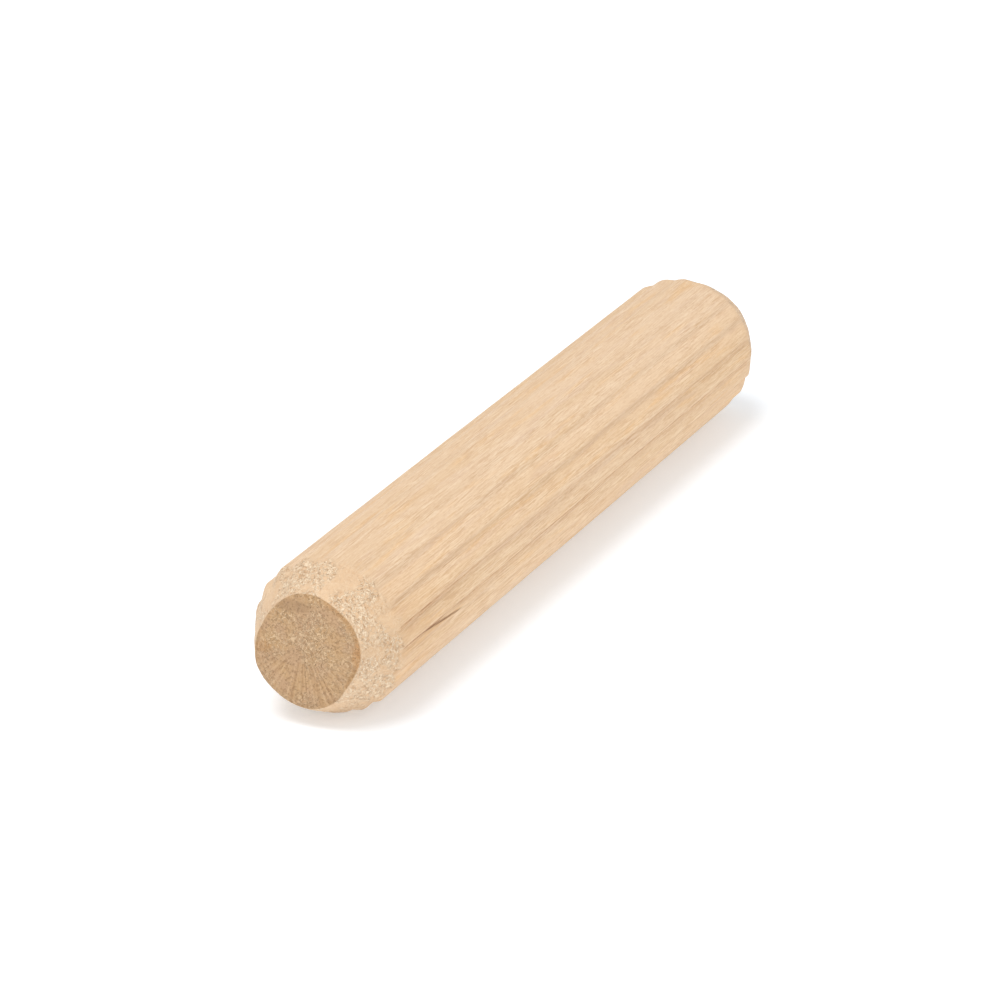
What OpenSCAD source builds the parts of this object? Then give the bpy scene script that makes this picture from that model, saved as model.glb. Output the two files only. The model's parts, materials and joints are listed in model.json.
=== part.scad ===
// Fluted wooden dowel pin with a bevelled lead at each end, lying along X.
// Millimetres. The origin is on the pin's axis, halfway along it.
// One flute is straight down, so the pin lies on the two ridges beside it.

/* [Body] */
// overall length, end face to end face
pin_len = 50; // [30:1:80]
// diameter over the ridges, the size of the drilled hole it goes in
pin_dia = 8; // [7:0.5:12]

/* [Flutes] */
// number of straight flutes pressed round the pin
flute_count = 20; // [12:1:24]
// width of a flute where it leaves the ridges
flute_width = 0.95; // [0.5:0.05:1.15]
// depth of a flute below the ridges
flute_depth = 0.15; // [0.1:0.01:0.24]

/* [Ends] */
// length of the bevelled lead at each end
bevel_len = 2.55; // [0.5:0.05:4]
// how far the bevel has come in at the end face, measured on the radius
bevel_depth = 1.15; // [0.4:0.05:1.6]

/* [Hidden] */
ridge_r = pin_dia / 2;
face_r = ridge_r - bevel_depth;
floor_r = ridge_r - flute_depth;
pitch = 360 / flute_count;
// half the angle one flute takes on the ridge circle
flute_half = asin(flute_width / 2 / ridge_r);
// a round-bottomed flute through both its edges and its floor
flute_r = (ridge_r * ridge_r + floor_r * floor_r - 2 * ridge_r * floor_r * cos(flute_half))
        / (2 * (ridge_r * cos(flute_half) - floor_r));
// how far the flute cutter runs past each end face
over = 1;

// the plain pin before fluting: a straight shank and two bevels
module turned_body() {
  rotate([0, 90, 0])
    rotate_extrude($fn = 120)
      polygon([
        [0, -pin_len / 2],
        [face_r, -pin_len / 2],
        [ridge_r, -pin_len / 2 + bevel_len],
        [ridge_r, pin_len / 2 - bevel_len],
        [face_r, pin_len / 2],
        [0, pin_len / 2]
      ]);
}

// one round-bottomed flute, running the whole length and out through both bevels
module flute() {
  translate([0, 0, -(floor_r + flute_r)])
    rotate([0, 90, 0])
      cylinder(r = flute_r, h = pin_len + 2 * over, center = true, $fn = 64);
}

module dowel_pin() {
  color([0.87, 0.76, 0.60])
    difference() {
      turned_body();
      for (i = [0 : flute_count - 1])
        rotate([i * pitch, 0, 0])
          flute();
    }
}

dowel_pin();
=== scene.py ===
"""A fluted wooden dowel pin lying on a pale studio floor. Lengths are in metres."""
import json
import math
import random

import bmesh
import bpy
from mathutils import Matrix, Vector, noise


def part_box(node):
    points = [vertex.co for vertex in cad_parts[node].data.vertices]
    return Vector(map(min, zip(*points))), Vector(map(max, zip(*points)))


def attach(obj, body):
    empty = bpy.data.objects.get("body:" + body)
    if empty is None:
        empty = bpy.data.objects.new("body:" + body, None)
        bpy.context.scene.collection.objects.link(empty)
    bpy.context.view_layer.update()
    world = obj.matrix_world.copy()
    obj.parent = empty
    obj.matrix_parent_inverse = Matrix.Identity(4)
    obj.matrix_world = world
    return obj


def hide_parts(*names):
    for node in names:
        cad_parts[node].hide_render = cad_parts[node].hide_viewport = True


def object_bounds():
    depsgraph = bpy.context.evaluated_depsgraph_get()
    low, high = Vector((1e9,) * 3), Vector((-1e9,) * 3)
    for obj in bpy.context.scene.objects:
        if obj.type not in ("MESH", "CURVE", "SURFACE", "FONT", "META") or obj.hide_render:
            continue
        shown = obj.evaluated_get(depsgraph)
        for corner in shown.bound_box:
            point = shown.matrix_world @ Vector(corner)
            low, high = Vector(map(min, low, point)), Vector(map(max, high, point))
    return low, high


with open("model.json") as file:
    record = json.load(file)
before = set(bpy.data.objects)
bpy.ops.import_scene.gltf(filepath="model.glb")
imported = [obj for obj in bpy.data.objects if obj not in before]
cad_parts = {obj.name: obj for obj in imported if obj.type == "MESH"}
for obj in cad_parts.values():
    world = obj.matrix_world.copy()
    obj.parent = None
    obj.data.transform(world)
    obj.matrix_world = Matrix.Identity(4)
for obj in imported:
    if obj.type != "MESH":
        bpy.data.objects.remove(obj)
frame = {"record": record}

cad_low, cad_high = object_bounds()

MM = 0.001
SAME_PLACE = 1e-7                  # points closer than this are one point
WHITE_BASE = 0.865                 # base colour of what looks pure white in the lit studio

# ---------------------------------------------------------------- sizes
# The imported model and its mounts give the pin's sizes; the rest is its finish.
shank = next(m for m in frame["record"]["mounts"] if m["name"] == "shank")
pin_low, pin_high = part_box("dowel_pin")
HALF_LEN = (pin_high.x - pin_low.x) / 2
RIDGE_R = shank["dims"]["r_mm"] * MM
BEVEL_LEN = HALF_LEN - shank["dims"]["length_mm"] * MM / 2
BEVEL_DEPTH = 1.15 * MM            # how far a bevel has come in at the end face
FACE_R = RIDGE_R - BEVEL_DEPTH
BEVEL_BULGE = 0.07 * MM            # the bevels are a little barrelled

FLUTES = 20
FLUTE_DEPTH = 0.16 * MM
FLUTE_SHARE = 0.94                 # a flute's width, as a share of the pitch
DIE_OFFSET = math.radians(4.9)     # the off-centre die shifted the flutes by up to this
DIE_SIDE = math.radians(120)       # by most on this side
DIE_TURN = math.radians(4.6)       # and the whole die was turned by this much
GROOVE_SHADE_SIDE = math.radians(198)    # the side where the painted shade in the flutes is darkest
FAINTER_SHADE_SIDE = math.radians(-15)      # the side away from it, with fainter painted shade
FAINTER_SHADE_SHARE = 0.7                   # share of the full painted shade on that side
SQUEEZE = math.radians(40)         # it pressed deepest along this diameter
SHALLOWEST = 0.70                  # share of the depth across that diameter
SQUEEZED_MORE = 0.42               # what is added to that share along it

# a flute's section: across runs from 0 at one edge to 1 at the other
FLOOR_AT = 0.36                    # where it is deepest
FLOOR_SWING = 0.11                 # how far that place moves round the pin
FLOOR_SIDE = math.radians(30)      # the side where it is furthest across
FIRST_WALL = 1.1                   # how hollow the wall before the floor is; 1 is straight
SECOND_WALL = 1.35                 # and the wall after it
SHADE_LINE_AT = 0.13                   # where a thin dark line of painted shade runs along each flute
SHADE_LINE_WIDTH = 0.06
SHADE_LINE_SHARE = 0.45                # share of a flute's painted shade that is that thin line
FAINTEST = 0.12                    # strength of the painted shade where it is faintest

# a flute along its length
WANDER = 0.02                      # how far it strays, as a share of the pitch
WANDER_LENGTH = 9 * MM
WEAR = 0.16                        # how much its depth varies
WEAR_LENGTH = 6 * MM
NEAR_FROM = -9 * MM                # towards the near end the flutes deepen, and their painted shade darkens, from here
NEAR_TO = -19 * MM                 # to here
NEAR_DEEPER = 0.22
NEAR_DARKER = 0.40

NICK_DEPTH = 0.012 * RIDGE_R       # nicks round the edge of an end face
NICKS = 2.6                        # how close they are
EDGE_DROP = 0.07                   # how far that edge is rounded back, in millimetres
FLUTE_ON_BEVEL = 0.55              # share of a flute's depth that reaches the bevel

# how far each end face is out of round: (lobes, share of the ridge radius, lean in degrees)
NEAR_OUT_OF_ROUND = ((1, 0.021, 78), (2, 0.042, 118), (4, 0.018, 78))
FAR_OUT_OF_ROUND = ((1, 0.015, 200), (2, 0.018, 30), (3, 0.010, 10))

# steps round the turned mesh, and rings along each stretch of it
TURN_STEPS = 440
FACE_RINGS = 22
BEVEL_RINGS = 32
SHANK_RINGS = 108


# ---------------------------------------------------------------- relief
def wood(point, along, across, seed=0.0):
    """Fibre noise from -1 to 1: grains of the given length along the pin and width across it."""
    return noise.noise(Vector((point.x / along + seed, point.y / across, point.z / across + seed)))


def ease(low, high, value):
    """0 below low, 1 above high, and a smooth step between."""
    t = min(max((value - low) / (high - low), 0.0), 1.0)
    return t * t * (3 - 2 * t)


def end_noise(point, wide, tall, seed):
    """Noise from -1 to 1 over an end face: spots of the given size along Y and along Z."""
    return noise.noise(Vector((point.y / wide, point.z / tall, seed)))


def soft_min(a, b, blend):
    """The smaller of two lengths, rounded over where they cross."""
    h = max(blend - abs(a - b), 0.0) / blend
    return min(a, b) - h * h * blend / 4


class Fluting:
    """The straight flutes: each one has its own depth, lean and place, as pressed ones do."""

    def __init__(self, seed):
        draw = random.Random(seed)
        self.depth = [FLUTE_DEPTH * draw.uniform(0.85, 1.15) for _ in range(FLUTES)]
        self.lean = [draw.uniform(-0.05, 0.05) for _ in range(FLUTES)]
        self.shift = [draw.uniform(-0.03, 0.03) for _ in range(FLUTES)]

    def cut(self, turn, x):
        """(depth of the surface below the ridges, how much painted shade lies there, from 0 to 1)."""
        floor_at = FLOOR_AT + FLOOR_SWING * math.cos(turn - FLOOR_SIDE)
        # painted shade in the flutes: darkest on one side of the pin, fainter on the side opposite it
        groove_shade = (0.5 + 0.5 * math.cos(turn - GROOVE_SHADE_SIDE)) ** 4
        groove_shade += FAINTER_SHADE_SHARE * max(math.cos(turn - FAINTER_SHADE_SIDE), 0.0) ** 2
        squeezed = 0.5 + 0.5 * math.cos(2 * (turn - SQUEEZE))
        turn -= DIE_OFFSET * math.cos(turn - DIE_SIDE) + DIE_TURN
        place = (turn + math.pi / 2) / math.tau * FLUTES
        stray = noise.noise(Vector((x / WANDER_LENGTH, math.cos(turn) * 3, math.sin(turn) * 3)))
        place += WANDER * stray
        index = round(place)
        flute = index % FLUTES
        across = 0.5 + (place - index - self.shift[flute]) / FLUTE_SHARE
        across = min(max(across, 0.0), 1.0)
        floor_at += self.lean[flute]
        if across < floor_at:
            down = (across / floor_at) ** FIRST_WALL
        else:
            down = ((1 - across) / (1 - floor_at)) ** SECOND_WALL
        wear = 1 + WEAR * noise.noise(Vector((x / WEAR_LENGTH, flute * 7.3, 0.5)))
        near = ease(NEAR_FROM, NEAR_TO, x)
        depth = self.depth[flute] * wear * (SHALLOWEST + SQUEEZED_MORE * squeezed)
        depth *= 1 + NEAR_DEEPER * near
        # a thin line of painted shade near one edge of each flute, and painted shade over the wall and
        # floor beyond it
        shade_line = math.exp(-((across - SHADE_LINE_AT) / SHADE_LINE_WIDTH) ** 2)
        hollow = ease(0.0, 0.12, across) * (1 - ease(0.16, 0.50, across))
        shade_mark = SHADE_LINE_SHARE * shade_line + (1 - SHADE_LINE_SHARE) * hollow
        shade_mark *= FAINTEST + (1 - FAINTEST) * groove_shade
        return depth * down, min(shade_mark * (1 + NEAR_DARKER * near), 1.0)


FLUTING = Fluting(seed=11)


def rim_radius(turn, end):
    """Radius of an end face at one angle: the cutter left it a little out of round."""
    radius = FACE_R - NICK_DEPTH
    for lobes, share, lean in (NEAR_OUT_OF_ROUND if end < 0 else FAR_OUT_OF_ROUND):
        radius += share * RIDGE_R * math.cos(lobes * (turn - math.radians(lean)))
    nick = noise.noise(Vector((math.cos(turn) * NICKS, math.sin(turn) * NICKS, end * 4)))
    return radius + NICK_DEPTH * nick


def torn_fibres(point, inward):
    """Relief of the bevels: short fibres lifted and torn out by the cutter."""
    lumps = 0.014 * wood(point, along=0.50 * MM, across=0.34 * MM, seed=3.1)
    curls = 0.014 * noise.turbulence(point / (0.26 * MM), 2, True) - 0.008
    pit = 0.030 * ease(0.42, 0.72, wood(point, along=0.26 * MM, across=0.17 * MM, seed=9.7))
    return (lumps + curls - pit) * inward * MM


def sawn_grain(point, end):
    """Relief of an end face: shallow saw waves, open pores and crushed fibre ends."""
    wave = 0.018 * end_noise(point, wide=1.9 * MM, tall=1.3 * MM, seed=end * 5.0)
    pores = 0.010 * end_noise(point, wide=0.16 * MM, tall=0.16 * MM, seed=end * 2.0)
    chips = 0.022 * ease(0.38, 0.62, end_noise(point, wide=0.30 * MM, tall=0.24 * MM, seed=end * 8.0))
    return (wave + pores - chips) * MM


def face_point(x, turn, share, rim):
    """A point of an end face, a share of the way from its centre out to its rim."""
    outward = Vector((math.copysign(1.0, x), 0, 0))
    ray = Vector((0, math.cos(turn), math.sin(turn)))
    spot = Vector((x, 0, 0)) + ray * (share * rim)
    drop = ease(0.93, 1.0, share) * EDGE_DROP * MM
    calm = 1 - 0.75 * ease(0.86, 0.97, share)
    return spot - outward * drop + outward * sawn_grain(spot, outward.x) * calm


def side_point(x, turn, rim):
    """A point of the shank or a bevel, the painted shade in its flute there, and how much of it is bevel.
    """
    from_end = HALF_LEN - abs(x)
    cut, groove_shade = FLUTING.cut(turn, x)
    ray = Vector((0, math.cos(turn), math.sin(turn)))
    spot = Vector((x, 0, 0)) + ray * RIDGE_R
    ridge = RIDGE_R - cut
    ridge += (0.010 * wood(spot, along=3.0 * MM, across=0.30 * MM, seed=1.7) - 0.010) * MM
    along = min(from_end / BEVEL_LEN, 1.0)
    cone = rim + (RIDGE_R - rim) * from_end / BEVEL_LEN + BEVEL_BULGE * 4 * along * (1 - along)
    cone -= FLUTE_ON_BEVEL * cut * ease(0.10, 0.90, along)
    ragged = 0.06 * wood(spot, along=0.8 * MM, across=0.5 * MM, seed=5.0) * MM
    bevel = ease(-0.10 * MM, 0.08 * MM, ridge - cone + ragged)
    cone += torn_fibres(spot, bevel)
    radius = soft_min(ridge, cone, 0.04 * MM)
    return Vector((x, 0, 0)) + ray * radius, groove_shade * (1 - bevel), bevel


def shape_pin(bm):
    """Sculpts the flutes, the torn bevels and the sawn ends into the turned blank."""
    # the flute layer carries the flutes' painted shade to the material
    layer = {name: bm.verts.layers.float.new(name) for name in ("flute", "bevel", "end_grain", "rim")}
    for v in bm.verts:
        x = v.co.x
        turn = math.atan2(v.co.z, v.co.y)
        rim = rim_radius(turn, math.copysign(1.0, x))
        from_end = HALF_LEN - abs(x)
        if from_end < SAME_PLACE:
            share = math.hypot(v.co.y, v.co.z) / FACE_R
            v.co = face_point(x, turn, share, rim)
            v[layer["end_grain"]] = 1.0
            v[layer["rim"]] = share
        else:
            v.co, v[layer["flute"]], v[layer["bevel"]] = side_point(x, turn, rim)
            v[layer["rim"]] = 1.0 + from_end / BEVEL_LEN


def turned_blank(bm):
    """Spins the half outline, end-face centre to end-face centre, into a closed plain pin."""
    outline = [
        (-HALF_LEN, 0.0),
        (-HALF_LEN, FACE_R),
        (BEVEL_LEN - HALF_LEN, RIDGE_R),
        (HALF_LEN - BEVEL_LEN, RIDGE_R),
        (HALF_LEN, FACE_R),
        (HALF_LEN, 0.0),
    ]
    rings = [FACE_RINGS, BEVEL_RINGS, SHANK_RINGS, BEVEL_RINGS, FACE_RINGS]
    corners = [bm.verts.new((x, 0, r)) for x, r in outline]
    spans = [bm.edges.new(pair) for pair in zip(corners, corners[1:])]
    for span, count in zip(spans, rings):
        bmesh.ops.subdivide_edges(bm, edges=[span], cuts=count - 1)
    bmesh.ops.spin(
        bm,
        geom=bm.verts[:] + bm.edges[:],
        cent=(0, 0, 0),
        axis=(1, 0, 0),
        angle=math.tau,
        steps=TURN_STEPS,
        use_merge=True,
        use_duplicate=False,
    )
    bmesh.ops.remove_doubles(bm, verts=bm.verts[:], dist=SAME_PLACE)
    bmesh.ops.recalc_face_normals(bm, faces=bm.faces[:])


def make_piece(name, build, material):
    """A new piece at the origin, made by a function that fills its bmesh."""
    bm = bmesh.new()
    build(bm)
    mesh = bpy.data.meshes.new(name)
    bm.to_mesh(mesh)
    bm.free()
    mesh.materials.append(material)
    piece = bpy.data.objects.new(name, mesh)
    bpy.context.scene.collection.objects.link(piece)
    for face in mesh.polygons:
        face.use_smooth = True
    return piece


def fluted_pin(bm):
    turned_blank(bm)
    shape_pin(bm)


# ---------------------------------------------------------------- materials
def add(tree, kind, inputs=None, **settings):
    """Adds one node, sets its options, and fills each input with a value or another node's output."""
    made = tree.nodes.new(kind)
    for key, value in settings.items():
        setattr(made, key, value)
    for key, value in (inputs or {}).items():
        if isinstance(value, bpy.types.NodeSocket):
            tree.links.new(value, made.inputs[key])
        else:
            made.inputs[key].default_value = value
    return made


def math_node(tree, operation, a, b=0.0):
    return add(tree, "ShaderNodeMath", {0: a, 1: b}, operation=operation).outputs[0]


def ramp(tree, value, low, high, to_low=0.0, to_high=1.0):
    """A smooth step of a value between two limits."""
    inputs = {"Value": value, "From Min": low, "From Max": high, "To Min": to_low, "To Max": to_high}
    made = add(tree, "ShaderNodeMapRange", inputs, interpolation_type="SMOOTHSTEP", clamp=True)
    return made.outputs["Result"]


def tint(tree, amount, under, over, blend="MIX"):
    """Lays one colour over another."""
    inputs = {0: amount, 6: under, 7: over}
    return add(tree, "ShaderNodeMix", inputs, data_type="RGBA", blend_type=blend).outputs[2]


def colour(red, green, blue):
    """A wood colour, as it looks in the lit studio from 0 to 255, as a shader takes it."""
    def linear(c):
        c /= 255
        return WHITE_BASE * (c / 12.92 if c <= 0.04045 else ((c + 0.055) / 1.055) ** 2.4)
    return (linear(red), linear(green), linear(blue), 1.0)


def marks_group(name, numbers, results):
    """An empty node group: a place and the given numbers go in, and the named values come out."""
    group = bpy.data.node_groups.new(name, "ShaderNodeTree")
    group.interface.new_socket(name="Place", in_out="INPUT", socket_type="NodeSocketVector")
    for key, start in numbers.items():
        socket = group.interface.new_socket(name=key, in_out="INPUT", socket_type="NodeSocketFloat")
        socket.default_value = start
    for key in results:
        group.interface.new_socket(name=key, in_out="OUTPUT", socket_type="NodeSocketFloat")
    return group


def grain_group():
    """Noise drawn out along the pin, for every mark that follows the fibres. Sizes are in millimetres."""
    numbers = {"Length": 5.0, "Width": 0.3, "Detail": 2.0, "Seed": 0.0}
    group = marks_group("fibre grain", numbers, ("Grain",))
    given = add(group, "NodeGroupInput").outputs
    axes = {"X": given["Length"], "Y": given["Width"], "Z": given["Width"]}
    size = add(group, "ShaderNodeCombineXYZ", axes)
    place = add(group, "ShaderNodeVectorMath", {0: given["Place"], 1: size.outputs[0]}, operation="DIVIDE")
    moved = add(group, "ShaderNodeVectorMath", {0: place.outputs[0], 1: given["Seed"]}, operation="ADD")
    look = {"Vector": moved.outputs[0], "Scale": 1.0, "Detail": given["Detail"], "Roughness": 0.55}
    grain = add(group, "ShaderNodeTexNoise", look)
    done = add(group, "NodeGroupOutput")
    group.links.new(grain.outputs["Fac"], done.inputs["Grain"])
    return group


def torn_group():
    """Curled fibre ends and the pits beside them, in patches. Sizes are in millimetres."""
    numbers = {"Size": 0.2, "Patch": 1.0, "Seed": 0.0}
    group = marks_group("torn fibre", numbers, ("Curl", "Pit", "Patch"))
    given = add(group, "NodeGroupInput").outputs

    def spots(size, detail, bend, seed):
        place = add(group, "ShaderNodeVectorMath", {0: given["Place"], 1: size}, operation="DIVIDE")
        seeded = math_node(group, "ADD", given["Seed"], seed)
        moved = add(group, "ShaderNodeVectorMath", {0: place.outputs[0], 1: seeded}, operation="ADD")
        look = {"Vector": moved.outputs[0], "Scale": 1.0, "Detail": detail, "Distortion": bend}
        return add(group, "ShaderNodeTexNoise", look).outputs["Fac"]

    wander = math_node(group, "SUBTRACT", spots(given["Size"], 1.5, 0.9, 0.0), 0.5)
    curl = ramp(group, math_node(group, "ABSOLUTE", wander), 0.025, 0.080, 1.0, 0.0)
    pit = ramp(group, spots(math_node(group, "MULTIPLY", given["Size"], 0.8), 2.0, 0.5, 13.0), 0.56, 0.64)
    patch = ramp(group, spots(given["Patch"], 2.0, 0.3, 29.0), 0.37, 0.58)
    done = add(group, "NodeGroupOutput")
    for name, value in (("Curl", curl), ("Pit", pit), ("Patch", patch)):
        group.links.new(value, done.inputs[name])
    return group


def raw_hardwood():
    """Pale, dry, unsealed hardwood: side grain, torn bevels and sawn end grain."""
    made = bpy.data.materials.new("raw pale hardwood")
    made.use_nodes = True
    tree = made.node_tree
    tree.nodes.clear()
    fibre, torn_fibre = grain_group(), torn_group()

    def mask(name):
        return add(tree, "ShaderNodeAttribute", attribute_name=name).outputs["Fac"]

    def grain(length, width, detail=2.0, seed=0.0):
        inputs = {"Place": place, "Length": length, "Width": width, "Detail": detail, "Seed": seed}
        return add(tree, "ShaderNodeGroup", inputs, node_tree=fibre).outputs["Grain"]

    def torn(size, patch, seed):
        inputs = {"Place": place, "Size": size, "Patch": patch, "Seed": seed}
        return add(tree, "ShaderNodeGroup", inputs, node_tree=torn_fibre).outputs

    def times(a, b):
        return math_node(tree, "MULTIPLY", a, b)

    def vector_node(operation, inputs):
        return add(tree, "ShaderNodeVectorMath", inputs, operation=operation).outputs[0]

    def blot(centre, reach, tilt=0.0):
        """A soft-edged spot: its centre, its half sizes in millimetres, and its turn about Y."""
        off = vector_node("SUBTRACT", {0: place, 1: centre})
        turned = {"Vector": off, "Angle": tilt}
        off = add(tree, "ShaderNodeVectorRotate", turned, rotation_type="Y_AXIS").outputs[0]
        off = vector_node("DIVIDE", {0: off, 1: reach})
        far = add(tree, "ShaderNodeVectorMath", {0: off}, operation="LENGTH").outputs["Value"]
        return ramp(tree, far, 1.2, 0.6)

    coords = add(tree, "ShaderNodeTexCoord").outputs["Object"]
    place = add(tree, "ShaderNodeMapping", {"Vector": coords, "Scale": (1000, 1000, 1000)}).outputs[0]
    spot = add(tree, "ShaderNodeSeparateXYZ", {0: place}).outputs
    across, above = spot["Y"], spot["Z"]
    # flute holds the flutes' painted shade, from the mesh
    flute, bevel, end, rim = mask("flute"), mask("bevel"), mask("end_grain"), mask("rim")

    # side grain: pale cream, with pink and honey patches, streaks and fine fibres, painted shade in the
    # flutes and painted warm light on the -Y side
    fine = grain(1.6, 0.055, 1.5, 12)
    dash = grain(0.40, 0.055, 1.0, 77)
    busy = ramp(tree, grain(5, 0.7, 2, 40), 0.36, 0.62, 0.35, 1.0)
    broad = ramp(tree, grain(26, 1.5, 2, 1), 0.36, 0.64)
    side = tint(tree, broad, colour(240, 209, 175), colour(236, 203, 165))
    side = tint(tree, ramp(tree, grain(6, 0.50, 2, 4), 0.54, 0.70, 0, 0.62), side, colour(240, 199, 150))
    side = tint(tree, ramp(tree, grain(5, 0.40, 2, 60), 0.54, 0.70, 0, 0.52), side, colour(232, 201, 173))
    side = tint(tree, ramp(tree, grain(2.8, 0.14, 2, 7), 0.54, 0.68, 0, 0.32), side, colour(223, 187, 149))
    side = tint(tree, times(ramp(tree, fine, 0.52, 0.62, 0, 0.58), busy), side, colour(215, 176, 137))
    side = tint(tree, times(ramp(tree, fine, 0.47, 0.37, 0, 0.58), busy), side, colour(252, 227, 196))
    side = tint(tree, ramp(tree, dash, 0.58, 0.68, 0, 0.32), side, colour(214, 175, 137))
    side = tint(tree, ramp(tree, dash, 0.42, 0.32, 0, 0.36), side, colour(252, 227, 196))
    # painted shade in the flutes, broken by the fine fibres, and a darker thin line of it where the flute
    # mask is strongest
    side = tint(tree, times(flute, ramp(tree, fine, 0.38, 0.58, 0.40, 0.66)), side, colour(200, 160, 121))
    broken = ramp(tree, grain(1.4, 0.3, 2, 52), 0.40, 0.58, 0.10, 0.80)
    side = tint(tree, times(ramp(tree, flute, 0.55, 0.92), broken), side, colour(172, 124, 80))
    # painted warm light: warmer towards the -Y side of the shank
    warm = ramp(tree, across, -1.8, -3.9)
    side = tint(tree, warm, side, (1.02, 0.99, 0.94, 1), "MULTIPLY")
    # darker and warmer on the -Y side towards the near end
    darker_near_end = times(warm, ramp(tree, spot["X"], -14, -22))
    side = tint(tree, darker_near_end, side, (0.97, 0.94, 0.90, 1), "MULTIPLY")
    stain = blot((-18.6, -3.86, -0.22), (3.4, 0.3, 0.07), math.radians(-5))
    side = tint(tree, times(stain, ramp(tree, fine, 0.40, 0.54, 0.40, 0.85)), side, colour(146, 102, 64))

    # bevels: warm cream, flecked where fibres stand up or have torn out, with painted highlights on the
    # curls, painted shade in the pits and painted shade on the -Y side
    lifted = torn(0.21, 1.5, 3)
    rough = times(ramp(tree, lifted["Patch"], 0, 1, 0.25, 1.0), bevel)
    uneven = ramp(tree, grain(1.6, 0.9, 2, 24), 0.35, 0.65)
    ragged = tint(tree, uneven, colour(238, 204, 166), colour(232, 196, 157))
    ragged = tint(tree, times(rough, 0.22), ragged, colour(226, 189, 152))
    ragged = tint(tree, ramp(tree, fine, 0.52, 0.64, 0, 0.30), ragged, colour(214, 177, 142))
    # painted shade, slightly warm, on the -Y side of the bevels
    ragged = tint(tree, warm, ragged, (0.97, 0.945, 0.91, 1), "MULTIPLY")
    # painted highlights on the curled fibres and painted shade in the pits beside them
    ragged = tint(tree, times(lifted["Curl"], times(rough, 0.74)), ragged, colour(255, 233, 202))
    ragged = tint(tree, times(lifted["Pit"], times(rough, 0.47)), ragged, colour(190, 142, 96))

    # end grain: darker and tan, crushed fibre ends with painted highlights and painted shade in their pits,
    # pores and rays
    crushed = torn(0.21, 1.8, 8)
    dots = grain(0.5, 0.10, 1.5, 31)
    pith = (0, 0.2, 0.6)
    around = vector_node("SUBTRACT", {0: place, 1: pith})
    around = vector_node("MULTIPLY", {0: around, 1: (0, 1, 1)})
    around = vector_node("NORMALIZE", {0: around})
    rays = add(tree, "ShaderNodeTexNoise", {"Vector": around, "Scale": 15.0, "Detail": 2.0}).outputs["Fac"]
    down = ramp(tree, above, 0.4, -0.9)
    clouded = ramp(tree, grain(4, 0.9, 2, 35), 0.35, 0.65)
    sawn = tint(tree, clouded, colour(206, 166, 121), colour(202, 163, 125))
    sawn = tint(tree, times(ramp(tree, rays, 0.50, 0.60, 0, 0.50), down), sawn, colour(172, 131, 92))
    sawn = tint(tree, times(ramp(tree, rays, 0.48, 0.38, 0, 0.50), down), sawn, colour(222, 186, 145))
    calm = ramp(tree, down, 0, 1, 1.0, 0.62)
    sawn = tint(tree, times(ramp(tree, dots, 0.54, 0.66, 0, 0.50), calm), sawn, colour(222, 186, 146))
    sawn = tint(tree, times(ramp(tree, dots, 0.46, 0.34, 0, 0.42), calm), sawn, colour(166, 127, 90))
    flecked = times(ramp(tree, crushed["Patch"], 0, 1, 0.08, 0.66), calm)
    # painted highlights on the crushed fibre ends and painted shade in the pits
    sawn = tint(tree, times(crushed["Curl"], flecked), sawn, colour(240, 207, 166))
    sawn = tint(tree, times(crushed["Pit"], 0.30), sawn, colour(162, 120, 80))
    sawn = tint(tree, times(blot((-25, 2.4, 0.0), (1, 0.6, 0.32)), 0.34), sawn, colour(202, 146, 88))
    sawn = tint(tree, times(blot((-25, 0.9, 2.35), (1, 1.4, 0.35)), 0.50), sawn, colour(172, 136, 101))
    burnish = times(ramp(tree, rim, 0.90, 0.97), ramp(tree, rim, 1.12, 1.03))
    burnish = times(burnish, ramp(tree, across, 1.5, -1.0, 0.20, 0.60))
    patchy = add(tree, "ShaderNodeTexNoise", {"Vector": around, "Scale": 2.6, "Detail": 3.0}).outputs["Fac"]
    burnish = times(burnish, ramp(tree, patchy, 0.40, 0.60, 0.20, 1.0))
    burnish = times(burnish, ramp(tree, above, -2.0, -0.9, 0.3, 1.0))
    sawn = tint(tree, burnish, sawn, colour(199, 150, 98))
    sawn = tint(tree, times(blot((-25, -2.65, 0.3), (1, 0.3, 0.7)), 0.40), sawn, colour(208, 147, 86))

    shade = tint(tree, bevel, side, ragged)
    shade = tint(tree, end, shade, sawn)

    # relief too fine for the mesh, in shares of the bump's full height
    lift = times(math_node(tree, "SUBTRACT", lifted["Curl"], lifted["Pit"]), times(rough, 0.6))
    crush = math_node(tree, "SUBTRACT", times(crushed["Curl"], crushed["Patch"]), crushed["Pit"])
    crush = times(crush, times(end, 0.7))
    height = math_node(tree, "ADD", math_node(tree, "ADD", lift, crush), times(fine, -0.35))
    bump = add(tree, "ShaderNodeBump", {"Height": height, "Distance": 0.035 * MM, "Strength": 1.0})

    skin = add(tree, "ShaderNodeBsdfPrincipled")
    skin.inputs["Roughness"].default_value = 0.65
    skin.inputs["Specular IOR Level"].default_value = 0.30
    tree.links.new(shade, skin.inputs["Base Color"])
    tree.links.new(bump.outputs["Normal"], skin.inputs["Normal"])
    out = add(tree, "ShaderNodeOutputMaterial")
    tree.links.new(skin.outputs["BSDF"], out.inputs["Surface"])
    return made


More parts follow.
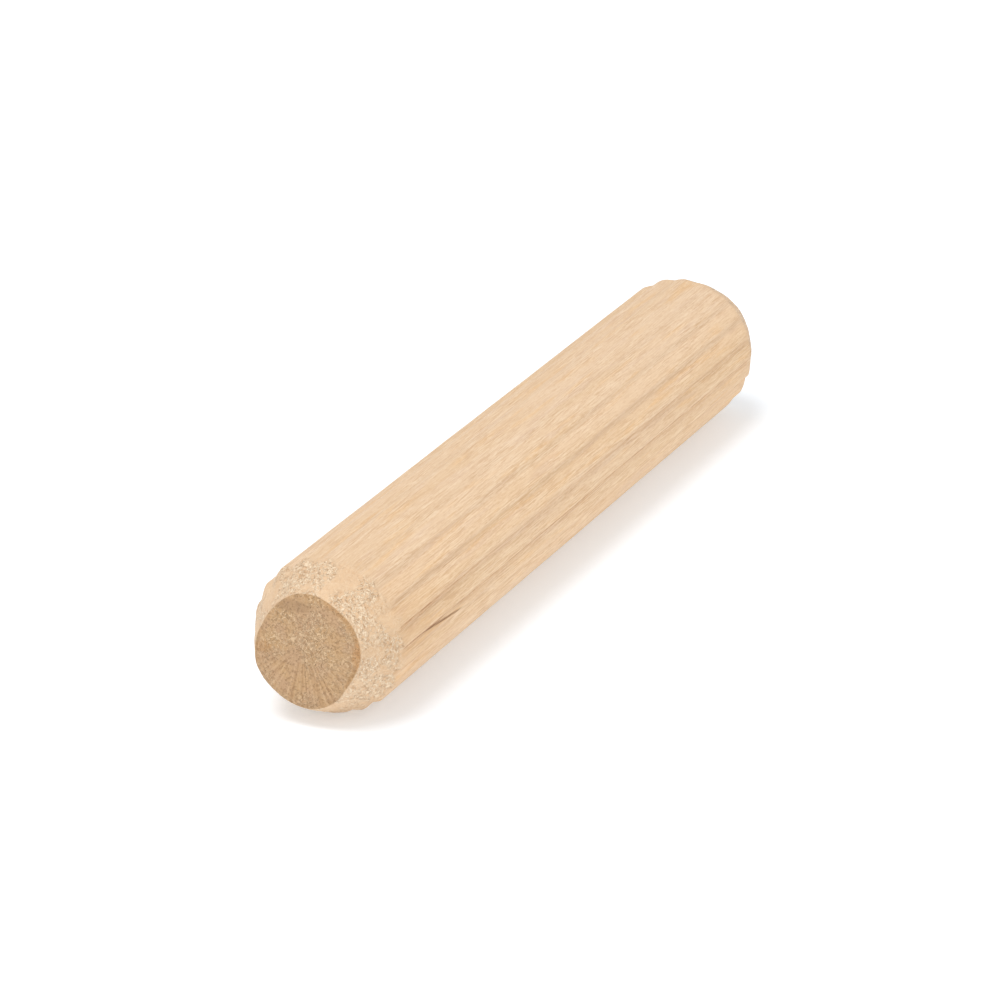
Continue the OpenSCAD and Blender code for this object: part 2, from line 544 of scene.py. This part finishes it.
def studio_white():
    made = bpy.data.materials.new("studio white")
    made.use_nodes = True
    skin = made.node_tree.nodes["Principled BSDF"]
    skin.inputs["Base Color"].default_value = (0.787, 0.82, 0.860, 1)
    skin.inputs["Roughness"].default_value = 1.0
    skin.inputs["Specular IOR Level"].default_value = 0.0
    skin.inputs["Emission Color"].default_value = (0.945, 0.975, 1, 1)
    skin.inputs["Emission Strength"].default_value = 0.32
    return made


# ---------------------------------------------------------------- the pin
pin = make_piece("fluted_pin", fluted_pin, raw_hardwood())
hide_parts("dowel_pin")
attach(pin, "root")


# ---------------------------------------------------------------- studio
def floor_sheet(bm):
    bmesh.ops.create_grid(bm, x_segments=1, y_segments=1, size=2.0)
    bmesh.ops.translate(bm, verts=bm.verts[:], vec=(0, 0, cad_low.z))


def soft_light(name, place, size, power):
    """A round lamp that faces the pin."""
    data = bpy.data.lights.new(name, "AREA")
    data.shape = "DISK"
    data.size = size
    data.energy = power
    lamp = bpy.data.objects.new(name, data)
    lamp.location = place
    lamp.rotation_mode = "QUATERNION"
    lamp.rotation_quaternion = (-Vector(place)).to_track_quat("-Z", "Y")
    bpy.context.scene.collection.objects.link(lamp)


def studio():
    floor = make_piece("studio_floor", floor_sheet, studio_white())
    soft_light("key light", place=(-0.15, 0.06, 0.43), size=0.28, power=1.17)
    soft_light("side fill", place=(-0.15, -0.46, 0.09), size=0.30, power=0.46)
    world = bpy.data.worlds.new("studio tent")
    bpy.context.scene.world = world
    world.use_nodes = True
    tent = world.node_tree.nodes["Background"]
    tent.inputs["Color"].default_value = (1, 1, 1, 1)
    tent.inputs["Strength"].default_value = 0.66
    bpy.context.scene.view_settings.view_transform = "Standard"


def camera():
    """Looks down the pin from its near end, a little from the left of it."""
    eye = Vector((-237.6, -104.9, 100.2)) * MM
    target = Vector((-0.72, 0.76, -0.89)) * MM
    data = bpy.data.cameras.new("camera")
    data.sensor_width = 36.0
    data.lens = 194.2
    data.clip_start = 0.01
    data.clip_end = 10.0
    view = bpy.data.objects.new("camera", data)
    view.location = eye
    view.rotation_mode = "QUATERNION"
    view.rotation_quaternion = (target - eye).to_track_quat("-Z", "Y")
    bpy.context.scene.collection.objects.link(view)
    bpy.context.scene.camera = view


studio()
camera()
